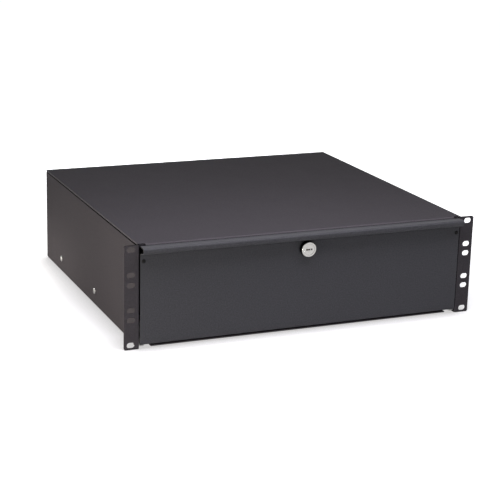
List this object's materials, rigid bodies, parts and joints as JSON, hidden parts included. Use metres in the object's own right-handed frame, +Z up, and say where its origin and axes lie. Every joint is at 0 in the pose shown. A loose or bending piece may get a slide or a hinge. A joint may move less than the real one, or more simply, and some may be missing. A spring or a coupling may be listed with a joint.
{
  "type": "sliding rack drawer",
  "caption": "Locking steel storage drawer for a 19-inch rack: slotted ears, folded case, ball-bearing slides and a full-width drawer with a bent-sheet finger pull.",
  "frame": {"origin": "centre of the rack-ear slot pattern, on the rear faces of the two ears, which bear on the rack's front rails; the drawer is closed and the lock open", "axes": "+X to the right seen from the front, +Y from the front to the back of the rack, +Z up"},
  "size_m": [0.4826, 0.432, 0.132],
  "materials": {
    "case_coat": "fine-textured satin black powder coat on folded steel",
    "drawer_coat": "smooth satin black powder coat on folded steel",
    "zinc_plate": "bright zinc plate on rolled steel, faint rolling lines",
    "screw_zinc": "bright zinc plate",
    "ball_steel": "polished bearing steel",
    "stop_plastic": "black moulded plastic",
    "rivet_coat": "satin black",
    "lock_nickel": "bright nickel plate on cast zinc"
  },
  "bodies": {
    "housing": {"side_panel_left": "case_coat", "side_panel_right": "case_coat", "top_cover": "case_coat", "bottom_panel": "case_coat", "rear_panel": "case_coat", "lock_strike": "case_coat", "slide_outer_left": "zinc_plate", "slide_outer_right": "zinc_plate", "slide_stop_left": "stop_plastic", "slide_stop_right": "stop_plastic", "case_screws_left": "screw_zinc", "case_screws_right": "screw_zinc"},
    "drawer": {"drawer_front": "drawer_coat", "drawer_tray": "drawer_coat", "tray_rear_wall": "drawer_coat", "slide_inner_left": "zinc_plate", "slide_inner_right": "zinc_plate", "tray_screws_left": "screw_zinc", "tray_screws_right": "screw_zinc", "face_rivets": "rivet_coat", "lock_body": "lock_nickel", "lock_nut": "screw_zinc"},
    "mid_left": {"slide_mid_left": "zinc_plate"},
    "outer_cage_left": {"outer_cage_left": "zinc_plate", "outer_balls_left": "ball_steel"},
    "inner_cage_left": {"inner_cage_left": "zinc_plate", "inner_balls_left": "ball_steel"},
    "mid_right": {"slide_mid_right": "zinc_plate"},
    "outer_cage_right": {"outer_cage_right": "zinc_plate", "outer_balls_right": "ball_steel"},
    "inner_cage_right": {"inner_cage_right": "zinc_plate", "inner_balls_right": "ball_steel"},
    "lock_plug": {"lock_plug": "lock_nickel", "lock_cam": "zinc_plate", "cam_screw": "screw_zinc"}
  },
  "joints": [
    {"name": "drawer_slide", "type": "slide", "parent": "housing", "child": "drawer", "axis": [0, -1, 0], "range_m": [0, 0.38]},
    {"name": "mid_left_slide", "type": "slide", "parent": "housing", "child": "mid_left", "axis": [0, -1, 0], "range_m": [0, 0.19]},
    {"name": "outer_cage_left_slide", "type": "slide", "parent": "housing", "child": "outer_cage_left", "axis": [0, -1, 0], "range_m": [0, 0.095]},
    {"name": "inner_cage_left_slide", "type": "slide", "parent": "housing", "child": "inner_cage_left", "axis": [0, -1, 0], "range_m": [0, 0.285]},
    {"name": "mid_right_slide", "type": "slide", "parent": "housing", "child": "mid_right", "axis": [0, -1, 0], "range_m": [0, 0.19]},
    {"name": "outer_cage_right_slide", "type": "slide", "parent": "housing", "child": "outer_cage_right", "axis": [0, -1, 0], "range_m": [0, 0.095]},
    {"name": "inner_cage_right_slide", "type": "slide", "parent": "housing", "child": "inner_cage_right", "axis": [0, -1, 0], "range_m": [0, 0.285]},
    {"name": "lock_turn", "type": "hinge", "parent": "drawer", "child": "lock_plug", "pos_m": [0, -0.0085, 0.0426], "axis": [0, -1, 0], "range_deg": [0, 90]}
  ],
  "couplings": [
    {"joint": "mid_left_slide", "follows": "drawer_slide", "ratio": 0.5},
    {"joint": "outer_cage_left_slide", "follows": "drawer_slide", "ratio": 0.25},
    {"joint": "inner_cage_left_slide", "follows": "drawer_slide", "ratio": 0.75},
    {"joint": "mid_right_slide", "follows": "drawer_slide", "ratio": 0.5},
    {"joint": "outer_cage_right_slide", "follows": "drawer_slide", "ratio": 0.25},
    {"joint": "inner_cage_right_slide", "follows": "drawer_slide", "ratio": 0.75}
  ]
}
